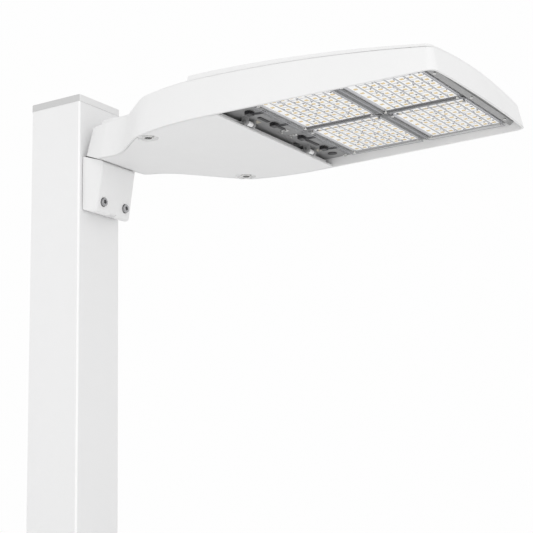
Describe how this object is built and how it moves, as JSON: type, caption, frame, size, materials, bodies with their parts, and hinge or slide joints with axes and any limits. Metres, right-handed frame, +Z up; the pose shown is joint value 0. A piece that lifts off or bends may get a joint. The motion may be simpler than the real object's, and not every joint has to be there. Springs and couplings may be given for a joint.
{
  "type": "shoebox area light",
  "caption": "Pole-top LED area light: flat cast housing on the top of a square pole, hinged gear door, quarter-turn fasteners, clear-lens LED window facing down.",
  "frame": {"origin": "on the square pole's axis at the cut lower end of the pole's top section", "axes": "+Z up along the pole, +X from the pole along the luminaire towards its nose"},
  "size_m": [0.7759, 0.3364, 0.7607],
  "materials": {
    "cast_white": "satin powder coat",
    "pole_white": "satin powder coat",
    "zinc_steel": "zinc plated",
    "stainless": "brushed",
    "bare_aluminium": "mill finish",
    "tray_grey": "grey anodised look",
    "black_rubber": "matte",
    "grey_foam": "closed-cell foam",
    "board_white": "white solder mask",
    "emitter_phosphor": "phosphor",
    "optic_clear": "clear moulded",
    "black_plastic": "moulded",
    "lead_insulation": "silicone",
    "driver_case": "satin",
    "surge_case": "moulded",
    "terminal_plastic": "moulded"
  },
  "bodies": {
    "light": {"pole_tube": "pole_white", "pole_cap": "pole_white", "pole_nut_plate": "zinc_steel", "pole_pad": "black_rubber", "mounting_bracket": "cast_white", "seat_gasket": "black_rubber", "bracket_lower_bolts": "stainless", "bracket_upper_bolts": "zinc_steel", "bracket_washers": "zinc_steel", "neck_bolts": "zinc_steel", "wire_grommet": "black_rubber", "housing": "cast_white", "hinge_pins": "stainless", "heat_sink_tray": "tray_grey", "tray_screws": "stainless", "optic_screws": "stainless", "lead_connectors": "black_plastic", "board_leads": "lead_insulation", "gear_plate": "bare_aluminium", "gear_screws": "zinc_steel", "led_driver": "driver_case", "surge_protector": "surge_case", "terminal_block": "terminal_plastic", "led_board_1": "board_white", "led_emitters_1": "emitter_phosphor", "optic_1": "optic_clear", "led_board_2": "board_white", "led_emitters_2": "emitter_phosphor", "optic_2": "optic_clear", "led_board_3": "board_white", "led_emitters_3": "emitter_phosphor", "optic_3": "optic_clear", "led_board_4": "board_white", "led_emitters_4": "emitter_phosphor", "optic_4": "optic_clear"},
    "door": {"door": "cast_white", "door_gasket": "grey_foam"},
    "fastener_near": {"door_fastener_near": "stainless"},
    "fastener_far": {"door_fastener_far": "stainless"}
  },
  "joints": [
    {"name": "door_hinge", "type": "hinge", "parent": "light", "child": "door", "pos_m": [0.3963, 0, 0.6365], "axis": [0, -1, 0], "range_deg": [0, 85]},
    {"name": "fastener_near_turn", "type": "hinge", "parent": "door", "child": "fastener_near", "pos_m": [0.2498, -0.1305, 0.632], "axis": [0, 0, 1], "range_deg": [0, 90]},
    {"name": "fastener_far_turn", "type": "hinge", "parent": "door", "child": "fastener_far", "pos_m": [0.2498, 0.1305, 0.632], "axis": [0, 0, 1], "range_deg": [0, 90]}
  ]
}
